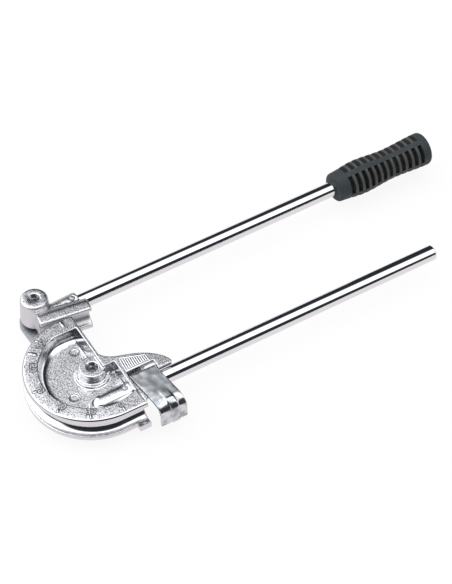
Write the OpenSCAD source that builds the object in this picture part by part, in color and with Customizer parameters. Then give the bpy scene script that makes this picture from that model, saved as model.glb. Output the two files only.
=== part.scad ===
// Lever tube bender: a forming wheel on a fixed handle, and a grooved shoe on a bending handle
// that a link under the wheel swings round the wheel's axis. A hinged clip holds the tube's end.
// Millimetres. The origin is on the wheel's pivot axis, at the underside of the pivot bolts.
// +X runs along the fixed handle and +Z is up. The handles lie parallel, as after a half-turn bend.

/* [Tube] */
// Outside diameter of the tube that is bent
tube_d = 16; // [15:0.5:18]
// Bend radius, from the wheel's axis to the tube's centre line
bend_r = 57; // [54:0.5:62]

/* [Forming wheel] */
// Thickness of the flange above and below the groove
lip_t = 5.5; // [4.5:0.25:7]
// Rounding of the flanges' outer edges
lip_round = 2.2; // [1:0.1:2.4]
// Length of the straight groove past the tangent point, towards the clip
tangent_len = 20.5; // [18:0.5:26]
// Distance of the straight cut side from the wheel's axis
cut_x = 10; // [8:0.5:14]
// Width of the flat ring that carries the degree scale
scale_w = 13; // [11:0.5:15]
// Depth of the recess inside the ring
recess_depth = 13; // [11:0.5:15]
// Radius of the cove between the recess wall and its floor
cove_r = 6.5; // [3:0.5:8]
// Thickness of the rim beside the straight cut
rim_wall = 2.6; // [2:0.2:5]
// Thickness of the wall between the recess and the clip
clip_wall = 3; // [2.5:0.25:5]
// Diameter of the hub round the wheel's pivot
hub_d = 22; // [19:0.5:26]
// How far the hub's top lies below the flange
hub_drop = 2; // [0.5:0.5:5]
// Width of the collar at the foot of the hub
collar_w = 3.5; // [2:0.5:5]
// Depth of the cored pockets in the underside
core_depth = 7; // [4:0.5:9]
// Width of the ribs between the cored pockets
core_rib = 6; // [4:0.5:9]
// How far the cradle under the tube stands out past the groove's lips
cradle_out = 4.6; // [3:0.2:5]
// Length of the cradle along the tube
cradle_len = 10.5; // [8:0.5:14]

/* [Horn] */
// Distance of the horn's tip from the wheel's axis
horn_reach = 58.5; // [55:0.5:64]
// Thickness of the horn's plate
horn_t = 4.5; // [4:0.25:6]
// Distance of the horn's waist from the wheel's cut side
horn_waist_out = 16; // [12:0.5:20]
// Width of the horn's tip, beside the clip
horn_tip_w = 13; // [10:0.5:16]
// How far the horn's front edge stands out past the clip's hinge
horn_front = 4.5; // [3.8:0.1:5.2]

/* [Handles] */
// Diameter of both handle bars
rod_d = 13.5; // [11:0.25:13.5]
// Distance of the fixed handle's axis from the wheel's axis
fixed_y = 31; // [29:0.2:33]
// Distance of the fixed handle's free end from the wheel's axis
fixed_reach = 317; // [250:1:380]
// Distance of the bending handle's butt from the wheel's axis
bending_reach = 384; // [320:1:440]
// Angle by which the bending handle opens away from the fixed one
splay = 0.6; // [0:0.1:1.5]
// Wall of the sockets round the handle bars
socket_wall = 2.2; // [1.5:0.1:3]
// Depth of the fixed bar's seat past the wheel's axis
fixed_seat = 9; // [6:0.5:14]
// Diameter of the pins that hold the bars in their sockets
bar_pin_d = 4.5; // [3:0.25:5]
// Chamfer on the ends of the bars
bar_chamfer = 1.2; // [0.5:0.1:2]
// Step from a bar's full radius down to its seat in the socket
seat_step = 0.75; // [0.3:0.05:1.5]

/* [Grip] */
// Length of the grip
grip_len = 99; // [85:1:120]
// Radius of the grip's front end
grip_front_r = 13.4; // [12:0.1:14.5]
// Radius of the grip's front swell
grip_swell_r = 15.8; // [14.5:0.1:17]
// Radius of the grip's waist
grip_waist_r = 13.9; // [13:0.1:14.5]
// Radius of the grip's butt
grip_butt_r = 15.4; // [14:0.1:16.5]
// Number of slots in each row
slot_count = 12; // [8:1:12]
// Spacing of the slots along the grip
slot_pitch = 6.8; // [5:0.1:6.9]
// Width of each slot
slot_w = 3.2; // [2:0.1:4]
// Depth of each slot
slot_depth = 2; // [1:0.1:3]
// Angle that each slot spans round the grip
slot_span = 67; // [50:1:80]
// Length of plain grip in front of the first slot
slot_start = 11.6; // [10:0.2:14]

/* [Bending shoe and head] */
// Distance of the head's pivot from the wheel's axis, across the handles
pivot_y = 87.4; // [85:0.2:92]
// Distance of the head's pivot behind the wheel's axis
pivot_back = 8.3; // [6:0.1:10]
// Diameter of the head's pivot boss at its top
boss_d = 24; // [21:0.5:26]
// How much wider the boss is at its foot than at its top, in radius
boss_flare = 1.3; // [0:0.1:2]
// Height of the pivot boss above its thrust washer
boss_h = 25; // [23:0.2:30]
// Distance of the bending bar's axis from the wheel's axis
bending_y = 74.8; // [74:0.2:76.5]
// Angle of the shoe's groove to the bending bar
shoe_angle = 8.4; // [7:0.2:10]
// Length of the shoe ahead of the tangent point
shoe_lead = 21.5; // [18:0.5:26]
// Length of the shoe behind the tangent point
shoe_trail = 24; // [18:0.5:24]
// Gap between the shoe's lips and the wheel's flange
shoe_gap = 1.1; // [0.7:0.1:3]
// Thickness of the shoe's lips above and below its groove
shoe_lip = 4.2; // [3:0.2:4.6]
// Width of the level top of the shoe's upper lip
shoe_shelf = 7; // [4:0.5:9]
// Depth of the bending bar's seat behind the socket's mouth
bending_seat = 22; // [16:0.5:23]
// Distance of the socket's mouth from the wheel's axis
mouth_x = 26; // [24:0.5:32]
// Radius of the bar's socket at its mouth
mouth_r = 10.4; // [9.5:0.1:11.5]

/* [Tube clip] */
// Angle by which the clip leans away from the wheel towards its hook
clip_lean = 6.8; // [0:0.2:8]
// Thickness of the clip
clip_t = 2.5; // [2:0.1:3]
// Width of the clip along the tube
clip_w = 24; // [22:0.5:30]
// Gap between the clip and the wheel's side
clip_side_gap = 0.8; // [0.6:0.1:3]
// Clearance between the clip and the tube
clip_gap = 0.5; // [0.4:0.1:1]
// Length of the clip's hook below the tube's centre
hook_leg = 10.5; // [8:0.5:11.5]
// Width of the raised bead over the hook
bead_w = 7; // [5:0.5:9]
// Length of the bead's run-out on the flat of the clip
bead_run = 9; // [6:0.5:16]
// Height of the raised bead
bead_h = 0.9; // [0.5:0.1:1.5]
// Diameter of the clip's hinge pin
hinge_pin_d = 3; // [2.5:0.1:3.5]
// Wall of the clip's knuckle round the pin
knuckle_wall = 1.2; // [1:0.1:1.4]
// Distance of the hinge from the fixed bar's axis
hinge_offset = 5.8; // [5.4:0.1:6.6]
// Gap between the clip's knuckle and the horn's edge behind it
hinge_slot = 2; // [1.7:0.1:2.5]

/* [Link and pivots] */
// Thickness of the link's plate
link_t = 5; // [4:0.25:7]
// Width of the link round the head's pivot
link_head_w = 28.8; // [24:0.2:32]
// Width of the link round the wheel's pivot
link_wheel_w = 38; // [32:0.5:46]
// Height of the pivot bolts' heads
bolt_head_h = 5; // [4:0.25:7]
// Width across flats of the pivot bolts' heads
bolt_flats = 17; // [15:0.5:19]
// Diameter of the shoulder that the link turns on
shoulder_d = 12; // [11:0.25:13]
// Diameter of the pivot bolts' screwed ends
thread_d = 9.5; // [8:0.25:10.5]
// Wall of the pivot bushes
bush_wall = 1.5; // [1:0.1:2]
// Thickness of the thrust washer under the wheel
wheel_washer_t = 1; // [0.8:0.1:2]
// Thickness of the thrust washer under the head
head_washer_t = 4.4; // [3:0.1:5]
// Outside diameter of the thrust washers
washer_d = 19; // [17:0.5:22]
// Thickness of the disc springs over the bolt heads
disc_t = 0.8; // [0.5:0.1:1.2]

/* [Clearances] */
// Radial clearance of a running fit
run_gap = 0.05; // [0.02:0.01:0.1]
// Radial clearance of a seated fit
seat_gap = 0.02; // [0.01:0.01:0.03]
// Clearance between the tube and the shoe's groove
groove_gap = 0.2; // [0.1:0.05:0.4]
// Clearance between parts that pass each other
pass_gap = 0.4; // [0.3:0.05:0.8]

/* [Hidden] */
$fn = 96;

cast = "#c9ccd0";
plated = "#d8dadd";
chrome = "#e2e4e6";
steel = "#9a9ca0";
bronze = "#b08d57";
rubber = "#3b4245";

tube_r = tube_d / 2;
rod_r = rod_d / 2;
seat_r = rod_r - seat_step;
wheel_h = tube_d + 2 * lip_t;
edge_chamfer = 0.6;

// Heights, from the underside of the bolt heads up
link_z0 = bolt_head_h + disc_t;
link_z1 = link_z0 + link_t;
wheel_z0 = link_z1 + wheel_washer_t;
mid_z = wheel_z0 + wheel_h / 2;
top_z = wheel_z0 + wheel_h;
floor_z = top_z - recess_depth;
boss_z0 = link_z1 + head_washer_t;
boss_z1 = boss_z0 + boss_h;

// Wheel
recess_r = bend_r - scale_w;
recess_draft = 12;
recess_far_y = recess_r - 2.2;
cove_inset = 0.8;
collar_h = 2;
core_wall = 5;
core_r0 = hub_d / 2 + collar_w + core_wall;
core_r1 = bend_r - tube_r - core_wall;
core_rib_angles = [135, 180, 225];
hub_side_y = -hub_d / 4;
socket_r = rod_r + socket_wall;
eject_d = 7.8;
eject_depth = 0.5;
eject_spots = [[-24, -13], [-1.5, 29]];

// Clip and its hinge
hook_r = tube_r + clip_gap;
clip_z0 = mid_z + hook_r;
clip_x0 = tangent_len + clip_side_gap;
knuckle_r = hinge_pin_d / 2 + knuckle_wall;
hinge_y = -fixed_y + hinge_offset;
hinge_z = clip_z0 + clip_t - knuckle_r;
hinge_edge_y = hinge_y + knuckle_r + hinge_slot;
horn_front_y = hinge_y - horn_front;
horn_tip_x0 = horn_reach - horn_tip_w;
knuckle_x1 = horn_tip_x0 - pass_gap;
ear_len = 4.5;
horn_heel = [cut_x, 8];
horn_waist = [cut_x + horn_waist_out, -3];
horn_nose_r = 2;
web_t = 6;
web_x1 = horn_tip_x0 - 8;
sleeve_x1 = horn_tip_x0 - 2;
clip_notch_y = hinge_y - norm([horn_front, top_z - hinge_z]) - pass_gap;
sleeve_r = norm([hinge_offset, hinge_z - mid_z]) - knuckle_r - pass_gap;
pin_x0 = tangent_len - clip_wall;
pin_x1 = horn_tip_x0 + ear_len;

// Head
pivot = [-pivot_back, pivot_y];
link_len = norm(pivot);
link_dir = atan2(pivot_y, -pivot_back);
shoe_dir = splay - shoe_angle;
shoe_dist = bend_r + shoe_gap;
shoe_z0 = wheel_z0 + pass_gap;
shoe_z1 = mid_z + tube_r + shoe_lip;
shoe_depth = 16;
shoe_edge = 1.2;
groove_r = tube_r + groove_gap;
boss_round = 2.4;
socket_root_r = rod_r + socket_wall;
socket_back = 5;
bending_pin_x = mouth_x - 5;
cradle_z1 = mid_z - sqrt(tube_r * tube_r - cradle_out * cradle_out);
fixed_pin_x = tangent_len - 7;
thread_drop = 7;
pin_sink = 0.2;

// Pivots
bush_r0 = shoulder_d / 2 + run_gap;
bush_r1 = bush_r0 + bush_wall;

// Grip
grip_x0 = bending_reach - grip_len;
grip_end_wall = 6;
grip_edge = 3;
swell_at = 0.28;
waist_at = 0.6;
butt_at = 0.95;
slot_floor_r = grip_waist_r - slot_depth;
slot_rows = 4;
slot_turn = 15;

// A quadratic curve from a to c, pulled towards b, in n steps
function bend_curve(a, b, c, n) =
    [for (i = [0:n]) let (t = i / n) (1 - t) * (1 - t) * a + 2 * t * (1 - t) * b + t * t * c];

// Points of a circular arc, in 6 steps
function arc(centre, r, from, to) =
    [for (i = [0:6]) let (a = from + (to - from) * i / 6) centre + r * [cos(a), sin(a)]];

// Lays a profile drawn as (distance, height) along +X, with distance running towards -Y
module along_x(length) {
    rotate([90, 0, 90])
        mirror([1, 0])
            linear_extrude(length)
                children();
}

// Half of the wheel's section: the rim with its half-round groove
module rim_profile() {
    low_edge = arc([bend_r - lip_round, wheel_z0 + lip_round], lip_round, -90, 0);
    top_edge = arc([bend_r - lip_round, top_z - lip_round], lip_round, 0, 90);
    difference() {
        polygon(concat([[0, wheel_z0]], low_edge, top_edge, [[0, top_z]]));
        translate([bend_r, mid_z])
            circle(tube_r);
    }
}

// The wheel's rim, straight past the tangent point and cut off along its other side
module rim() {
    intersection() {
        rotate_extrude()
            rim_profile();
        union() {
            translate([-bend_r - 1, -bend_r - 1, 0])
                cube([bend_r + 1, 2 * bend_r + 2, top_z + 1]);
            translate([-1, 0, 0])
                cube([cut_x + 1, bend_r + 1, top_z + 1]);
        }
    }
    difference() {
        along_x(tangent_len)
            rim_profile();
        translate([cut_x, hub_side_y + clip_wall, 0])
            cube([tangent_len, hub_d, top_z + 1]);
    }
}

// The cradle that carries the tube's underside next to the clip
module cradle() {
    out = bend_r + cradle_out;
    translate([tangent_len - cradle_len, 0, 0])
        along_x(cradle_len)
            difference() {
                polygon([[bend_r - tube_r, wheel_z0], [out - edge_chamfer, wheel_z0],
                    [out, wheel_z0 + edge_chamfer], [out, cradle_z1], [bend_r - tube_r, cradle_z1]]);
                translate([bend_r, mid_z])
                    circle(tube_r);
            }
}

// The flat horn beside the clip, with the ear for the hinge pin under its tip
module horn() {
    inner_x = cut_x - rim_wall;
    heel = bend_curve(horn_heel, [cut_x + 4, 0], horn_waist, 6);
    nose = bend_curve(horn_waist, [horn_reach - 6, -11], [horn_reach, horn_front_y + horn_nose_r], 12);
    tip = [[horn_reach - horn_nose_r / 2, horn_front_y], [horn_tip_x0, horn_front_y]];
    inside = [[horn_tip_x0, hinge_edge_y], [inner_x, hinge_edge_y], [inner_x, horn_heel.y]];
    translate([0, 0, top_z - horn_t])
        linear_extrude(horn_t)
            polygon(concat(heel, nose, tip, inside));
    translate([horn_tip_x0, hinge_y - knuckle_r, hinge_z])
        cube([ear_len, 2 * knuckle_r, top_z - hinge_z - edge_chamfer]);
    translate([horn_tip_x0, hinge_y, hinge_z])
        rotate([0, 90, 0])
            cylinder(h = ear_len, r = knuckle_r);
}

// The web that joins the horn's underside to the wheel and to the bar's sleeve
module horn_web() {
    web_z0 = mid_z - rod_r;
    translate([cut_x, hinge_edge_y, web_z0])
        cube([web_x1 - cut_x, web_t, top_z - web_z0 - horn_t / 2]);
    translate([tangent_len - 1, -fixed_y, web_z0])
        cube([web_x1 - tangent_len + 1, hinge_edge_y + fixed_y + 1, rod_r]);
}

// The space inside the scale ring, open at the top
module recess() {
    foot_r = recess_r - cove_inset - cove_r;
    cove = arc([foot_r, floor_z + cove_r], cove_r, -90, 0);
    intersection() {
        rotate_extrude()
            polygon(concat([[0, floor_z]], cove, [[recess_r, top_z + 1], [0, top_z + 1]]));
        union() {
            translate([cut_x - rim_wall, -recess_r, top_z])
                rotate([0, recess_draft, 0])
                    translate([-2 * recess_r, 0, -2 * recess_depth])
                        cube([2 * recess_r, recess_r + recess_far_y, 3 * recess_depth]);
            translate([-1, -recess_r, floor_z])
                cube([tangent_len - clip_wall + 1, recess_r + hub_side_y, recess_depth + 1]);
        }
    }
}

// Pockets cored out of the wheel's underside, with ribs between them
module core_pockets() {
    difference() {
        intersection() {
            rotate_extrude()
                translate([core_r0, wheel_z0 - 1])
                    square([core_r1 - core_r0, core_depth + 1]);
            translate([-bend_r, -bend_r, 0])
                cube([bend_r - 2, 2 * bend_r, top_z]);
        }
        for (a = core_rib_angles)
            rotate([0, 0, a])
                translate([0, -core_rib / 2, 0])
                    cube([bend_r, core_rib, top_z]);
    }
}

// The round-ended sleeve that the fixed bar is seated in
module bar_sleeve() {
    translate([-fixed_seat, -fixed_y, mid_z]) {
        sphere(socket_r);
        rotate([0, 90, 0])
            cylinder(h = tangent_len + fixed_seat, r = socket_r);
        rotate([0, 90, 0])
            cylinder(h = sleeve_x1 + fixed_seat, r = sleeve_r);
    }
}

module forming_wheel() {
    color(cast)
        difference() {
            union() {
                difference() {
                    union() {
                        rim();
                        cradle();
                        horn();
                        horn_web();
                    }
                    recess();
                    core_pockets();
                    for (spot = eject_spots)
                        translate([spot.x, spot.y, floor_z - eject_depth])
                            cylinder(h = recess_depth, d = eject_d);
                }
                translate([0, 0, wheel_z0])
                    cylinder(h = wheel_h - hub_drop, d = hub_d);
                translate([0, 0, wheel_z0])
                    cylinder(h = floor_z - wheel_z0 + collar_h, r = hub_d / 2 + collar_w);
                bar_sleeve();
            }
            translate([0, 0, wheel_z0 - 1])
                cylinder(h = wheel_h + 2, r = thread_d / 2 + seat_gap);
            translate([-fixed_seat, -fixed_y, mid_z])
                rotate([0, 90, 0])
                    cylinder(h = fixed_reach, r = seat_r + seat_gap);
            translate([fixed_pin_x, -fixed_y, mid_z])
                cylinder(h = wheel_h, r = bar_pin_d / 2 + seat_gap);
            translate([pin_x0, hinge_y, hinge_z])
                rotate([0, 90, 0])
                    cylinder(h = pin_x1 - pin_x0, r = hinge_pin_d / 2 + seat_gap);
        }
}

// A round bar along +X, turned down to its shoulder where it is seated, cross-drilled for its pin
module bar(length, seat_len, pin_x) {
    difference() {
        rotate([0, 90, 0])
            rotate_extrude()
                polygon([[0, 0], [seat_r - bar_chamfer, 0], [seat_r, bar_chamfer],
                    [seat_r, seat_len], [rod_r, seat_len], [rod_r, length - bar_chamfer],
                    [rod_r - bar_chamfer, length], [0, length]]);
        translate([pin_x, 0, -rod_r / 2])
            cylinder(h = rod_d, r = bar_pin_d / 2 + seat_gap);
    }
}

// A pin that locks a bar in a socket of the given outside radius
module bar_pin(outer_r) {
    translate([0, 0, -rod_r / 2])
        cylinder(h = rod_r / 2 + outer_r - seat_gap, d = bar_pin_d);
}

module fixed_handle_bar() {
    color(chrome)
        translate([-fixed_seat, -fixed_y, mid_z])
            bar(fixed_reach + fixed_seat, sleeve_x1 + fixed_seat, fixed_pin_x + fixed_seat);
}

module fixed_bar_pin() {
    color(steel)
        translate([fixed_pin_x, -fixed_y, mid_z])
            bar_pin(socket_r);
}

// The clip's flat, from the hook's bend to its hinge
module clip_flat() {
    translate([-bend_r, clip_z0])
        square([hinge_y + bend_r, clip_t]);
}

// The bead's run-out, which falls to the flat's level
module bead_end() {
    clip_z1 = clip_z0 + clip_t;
    polygon([[-bend_r, clip_z1 - clip_t / 2], [bead_run - bend_r, clip_z1 - clip_t / 2],
        [bead_run - bend_r, clip_z1], [-bend_r, clip_z1 + bead_h]]);
}

// The clip's hook: a quarter bend round the tube and a leg, from inside to outside radius
module clip_hook(inner, outer) {
    translate([-bend_r, mid_z])
        intersection() {
            difference() {
                circle(outer);
                circle(inner);
            }
            translate([-outer, 0])
                square(outer);
        }
    translate([-bend_r - outer, mid_z - hook_leg])
        square([outer - inner, hook_leg]);
}

// The clip's outline from above: its sides lean away from the wheel towards the hook
module clip_plan(x0, width) {
    reach = bend_r + hook_r + 2 * clip_t + hinge_y;
    lean = reach * tan(clip_lean);
    linear_extrude(top_z + clip_t)
        polygon([[x0, hinge_y + knuckle_r], [x0, hinge_y], [x0 + lean, hinge_y - reach],
            [x0 + lean + width, hinge_y - reach], [x0 + width, hinge_y], [x0 + width, hinge_y + knuckle_r]]);
}

// A stretch of the section given as its children, trimmed to the leaning outline
module clip_band(x0, width) {
    intersection() {
        translate([clip_x0 - clip_w, 0, 0])
            rotate([90, 0, 90])
                linear_extrude(3 * clip_w)
                    children();
        clip_plan(x0, width);
    }
}

module tube_clip() {
    bead_x = clip_x0 + clip_w / 2 - bead_w / 3;
    color(plated)
        difference() {
            union() {
                clip_band(clip_x0, clip_w) {
                    clip_flat();
                    clip_hook(hook_r, hook_r + clip_t);
                }
                clip_band(bead_x, bead_w) {
                    bead_end();
                    clip_hook(hook_r + clip_t / 2, hook_r + clip_t + bead_h);
                }
                translate([clip_x0, hinge_y, hinge_z])
                    rotate([0, 90, 0])
                        cylinder(h = knuckle_x1 - clip_x0, r = knuckle_r);
            }
            translate([clip_x0 - 1, hinge_y, hinge_z])
                rotate([0, 90, 0])
                    cylinder(h = clip_w + 2, r = hinge_pin_d / 2 + run_gap);
            translate([knuckle_x1, clip_notch_y, clip_z0 - 1])
                cube([clip_w, bend_r, clip_t + 2]);
        }
}

module clip_hinge_pin() {
    color(steel)
        translate([pin_x0, hinge_y, hinge_z])
            rotate([0, 90, 0])
                cylinder(h = pin_x1 - pin_x0, d = hinge_pin_d);
}

module swing_link() {
    r0 = link_wheel_w / 2;
    r1 = link_head_w / 2;
    lean = asin((r0 - r1) / link_len);
    color(steel)
        translate([0, 0, link_z0])
            rotate([0, 0, link_dir])
                linear_extrude(link_t)
                    difference() {
                        union() {
                            circle(r0);
                            translate([link_len, 0])
                                circle(r1);
                            polygon([[r0 * sin(lean), -r0 * cos(lean)],
                                [link_len + r1 * sin(lean), -r1 * cos(lean)],
                                [link_len + r1 * sin(lean), r1 * cos(lean)],
                                [r0 * sin(lean), r0 * cos(lean)]]);
                        }
                        for (x = [0, link_len])
                            translate([x, 0])
                                circle(bush_r1 + seat_gap);
                    }
}

// A shoulder bolt, screwed up into a casting whose underside is at seat_z
module pivot_bolt(seat_z, end_z) {
    cylinder(h = bolt_head_h, d = bolt_flats / cos(30), $fn = 6);
    cylinder(h = seat_z, d = shoulder_d);
    cylinder(h = end_z, d = thread_d);
}

module ring(z0, z1, inner_r, outer_r) {
    translate([0, 0, z0])
        difference() {
            cylinder(h = z1 - z0, r = outer_r);
            translate([0, 0, -1])
                cylinder(h = z1 - z0 + 2, r = inner_r);
        }
}

module wheel_pivot_bolt() {
    color(steel)
        pivot_bolt(wheel_z0, top_z - hub_drop - thread_drop);
}

module wheel_pivot_bush() {
    color(bronze)
        ring(link_z0, link_z1, bush_r0, bush_r1);
}

module wheel_thrust_washer() {
    color(steel)
        ring(link_z1, wheel_z0, bush_r0, washer_d / 2);
}

module wheel_disc_spring() {
    color(steel)
        ring(bolt_head_h, link_z0, bush_r0, bolt_flats / 2);
}

module at_pivot() {
    translate([pivot.x, pivot.y, 0])
        children();
}

module head_pivot_bolt() {
    color(steel)
        at_pivot()
            pivot_bolt(boss_z0, boss_z1 - thread_drop);
}

module head_pivot_bush() {
    color(bronze)
        at_pivot()
            ring(link_z0, link_z1, bush_r0, bush_r1);
}

module head_thrust_washer() {
    color(steel)
        at_pivot()
            ring(link_z1, boss_z0, bush_r0, washer_d / 2);
}

module head_disc_spring() {
    color(steel)
        at_pivot()
            ring(bolt_head_h, link_z0, bush_r0, bolt_flats / 2);
}

// The bending bar's own frame: its axis along +X
module along_bar() {
    translate([0, bending_y, mid_z])
        rotate([0, 0, splay])
            children();
}

// The shoe's block: a lip above and below the groove, and a top that falls back to the socket
module shoe() {
    back = [shoe_depth, mid_z + socket_root_r];
    edge = arc([shoe_edge, shoe_z1 - shoe_edge], shoe_edge, 180, 90);
    fall = bend_curve([shoe_shelf, shoe_z1], [(shoe_shelf + shoe_depth) / 2, shoe_z1], back, 6);
    rotate([0, 0, shoe_dir])
        translate([-shoe_trail, shoe_dist, 0])
            rotate([90, 0, 90])
                linear_extrude(shoe_trail + shoe_lead)
                    polygon(concat([[0, shoe_z0]], edge, fall, [[shoe_depth, shoe_z0]]));
}

// Space for the tube in the shoe, and for the wheel's cradle behind it
module shoe_cuts() {
    rotate([0, 0, shoe_dir]) {
        translate([-shoe_trail - 1, shoe_dist, mid_z])
            rotate([0, 90, 0])
                cylinder(h = shoe_trail + shoe_lead + 2, r = groove_r);
        translate([-shoe_trail - 1, shoe_dist - 1, wheel_z0 - 1])
            cube([shoe_trail - tangent_len + cradle_len + pass_gap + 1, cradle_out + 1 + pass_gap,
                cradle_z1 - wheel_z0 + pass_gap + 1]);
    }
}

// The upright boss that turns on the link's end, rounded at its top edge
module pivot_boss() {
    r = boss_d / 2;
    corner = arc([r - boss_round, boss_h - boss_round], boss_round, 0, 90);
    translate([pivot.x, pivot.y, boss_z0])
        rotate_extrude()
            polygon(concat([[0, 0], [r + boss_flare, 0]], corner, [[0, boss_h]]));
}

module bending_head() {
    color(cast)
        difference() {
            union() {
                pivot_boss();
                shoe();
                along_bar() {
                    translate([-socket_back, 0, 0])
                        sphere(socket_root_r);
                    translate([-socket_back, 0, 0])
                        rotate([0, 90, 0])
                            cylinder(h = mouth_x + socket_back, r1 = socket_root_r, r2 = mouth_r);
                }
                translate([-socket_back, bending_y, mid_z])
                    rotate([-90, 0, 0])
                        cylinder(h = pivot_y - bending_y, r = socket_root_r);
            }
            shoe_cuts();
            along_bar() {
                translate([mouth_x - bending_seat, 0, 0])
                    rotate([0, 90, 0])
                        cylinder(h = bending_seat + 1, r = seat_r + seat_gap);
                translate([mouth_x, 0, 0])
                    rotate([0, 90, 0])
                        cylinder(h = shoe_lead, r = rod_r + seat_gap);
                translate([bending_pin_x, 0, 0])
                    cylinder(h = 2 * mouth_r, r = bar_pin_d / 2 + seat_gap);
            }
            at_pivot() {
                translate([0, 0, boss_z0 - 1])
                    cylinder(h = boss_h + 2, r = thread_d / 2 + seat_gap);
                cylinder(h = boss_z0, r = washer_d / 2 + pass_gap);
            }
        }
}

module bending_handle_bar() {
    bar_x0 = mouth_x - bending_seat;
    color(chrome)
        along_bar()
            translate([bar_x0, 0, 0])
                bar(bending_reach - grip_end_wall - bar_x0, bending_seat, bending_pin_x - bar_x0);
}

module bending_bar_pin() {
    color(steel)
        along_bar()
            translate([bending_pin_x, 0, 0])
                bar_pin(mouth_r - pin_sink);
}

// Radius of the grip a share t along it: swell, waist and butt joined by smooth steps
function ease(t) = t * t * (3 - 2 * t);
function blend(a, b, t) = a + (b - a) * ease(t);
function grip_r(t) =
    t < swell_at ? blend(grip_front_r, grip_swell_r, t / swell_at)
    : t < waist_at ? blend(grip_swell_r, grip_waist_r, (t - swell_at) / (waist_at - swell_at))
    : t < butt_at ? blend(grip_waist_r, grip_butt_r, (t - waist_at) / (butt_at - waist_at))
    : grip_butt_r;

module grip_body() {
    front = arc([grip_front_r - grip_edge, grip_edge], grip_edge, -90, 0);
    side = [for (i = [2:28]) let (t = i / 30) [grip_r(t), t * grip_len]];
    butt = arc([grip_butt_r - grip_edge, grip_len - grip_edge], grip_edge, 0, 90);
    rotate_extrude()
        polygon(concat([[0, 0]], front, side, butt, [[0, grip_len]]));
}

module handle_grip() {
    color(rubber)
        along_bar()
            translate([grip_x0, 0, 0])
                rotate([0, 90, 0])
                    difference() {
                        grip_body();
                        translate([0, 0, -1])
                            cylinder(h = grip_len - grip_end_wall + 1, r = rod_r + seat_gap);
                        for (row = [0:slot_rows - 1], i = [0:slot_count - 1])
                            rotate([0, 0, row * 360 / slot_rows + slot_turn - slot_span / 2 + 45])
                                translate([0, 0, slot_start + i * slot_pitch])
                                    rotate_extrude(angle = slot_span)
                                        translate([slot_floor_r, 0])
                                            square([grip_swell_r, slot_w]);
                    }
}

forming_wheel();
fixed_handle_bar();
fixed_bar_pin();
tube_clip();
clip_hinge_pin();
swing_link();
wheel_pivot_bolt();
wheel_pivot_bush();
wheel_thrust_washer();
wheel_disc_spring();
bending_head();
head_pivot_bolt();
head_pivot_bush();
head_thrust_washer();
head_disc_spring();
bending_handle_bar();
bending_bar_pin();
handle_grip();
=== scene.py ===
"""Looks of a lever tube bender: cast wheel and head, chrome bars, plated clip and rubber grip."""

import math

import bmesh
import bpy
from bpy.props import FloatProperty, FloatVectorProperty, IntProperty, PointerProperty
from mathutils import Matrix, Vector


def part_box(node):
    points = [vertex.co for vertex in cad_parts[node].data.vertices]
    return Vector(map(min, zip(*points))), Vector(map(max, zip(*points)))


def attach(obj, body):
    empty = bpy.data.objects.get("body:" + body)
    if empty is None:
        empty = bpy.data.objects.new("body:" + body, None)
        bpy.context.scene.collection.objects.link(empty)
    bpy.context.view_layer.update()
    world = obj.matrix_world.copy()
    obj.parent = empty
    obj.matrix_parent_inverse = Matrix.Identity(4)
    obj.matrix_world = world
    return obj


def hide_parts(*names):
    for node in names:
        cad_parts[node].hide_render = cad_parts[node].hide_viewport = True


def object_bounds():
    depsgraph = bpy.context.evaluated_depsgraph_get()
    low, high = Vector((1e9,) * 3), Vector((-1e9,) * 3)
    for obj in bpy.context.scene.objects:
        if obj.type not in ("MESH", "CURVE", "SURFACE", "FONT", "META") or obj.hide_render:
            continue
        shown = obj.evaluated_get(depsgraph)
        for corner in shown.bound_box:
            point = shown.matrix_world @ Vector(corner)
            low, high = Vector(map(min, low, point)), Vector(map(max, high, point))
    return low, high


bl_info = {
    "name": "Lever tube bender",
    "version": (1, 0, 0),
    "blender": (4, 5, 0),
    "location": "3D View > Sidebar > Tube bender",
    "description": "Dresses the tube bender's solids in their real finishes and sets the studio",
    "category": "Object",
}

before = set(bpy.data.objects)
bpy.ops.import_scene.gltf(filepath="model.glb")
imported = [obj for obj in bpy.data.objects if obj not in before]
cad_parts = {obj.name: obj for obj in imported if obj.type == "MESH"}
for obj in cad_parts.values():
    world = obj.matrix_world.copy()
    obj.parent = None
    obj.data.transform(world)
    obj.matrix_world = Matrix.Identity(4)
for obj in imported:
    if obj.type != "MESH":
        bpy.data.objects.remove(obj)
CAD_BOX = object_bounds()

# Where the pieces lie, read from the frame
WHEEL_LOW, WHEEL_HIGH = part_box("forming_wheel")
CLIP_LOW, CLIP_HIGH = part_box("tube_clip")
BAR_LOW, BAR_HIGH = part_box("bending_handle_bar")
GRIP_LOW, GRIP_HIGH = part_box("handle_grip")
BEND_R = -WHEEL_LOW.x
FLANGE_Z = WHEEL_HIGH.z

# The camera, fitted to the photo: pixels, sensor width in millimetres, metres and degrees
IMAGE_HEIGHT = 584
FOCAL_PIXELS = 1847.35
SENSOR = 36
CAMERA_PLACE = (-0.389635, -0.862654, 1.210464)
CAMERA_ELEVATION = 48.988
CAMERA_AZIMUTH = -30.915

# The floor's side in metres, the share of its white that needs no light, and the softbox's brightness
FLOOR_SIZE = 12.0
FLOOR_GLOW = 0.9
SOFTBOX_LEVEL = 2.0

# Edges of the softbox: how far a ray points along the edge's direction where the light starts and where it is
# full, and how far the near and far edges are turned from the camera's azimuth, in degrees
SOFTBOX_NEAR = (0.545, 0.357)
SOFTBOX_NEAR_TURN = 12
SOFTBOX_FAR = (-0.58, -0.393)
SOFTBOX_FAR_TURN = -28
SOFTBOX_LOW = (0.15, 0.4)

# Where the grip is thickest, thinnest and thick again, as shares of its length
SWELL_AT = 0.28
WAIST_AT = 0.6
BUTT_AT = 0.95

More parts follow.
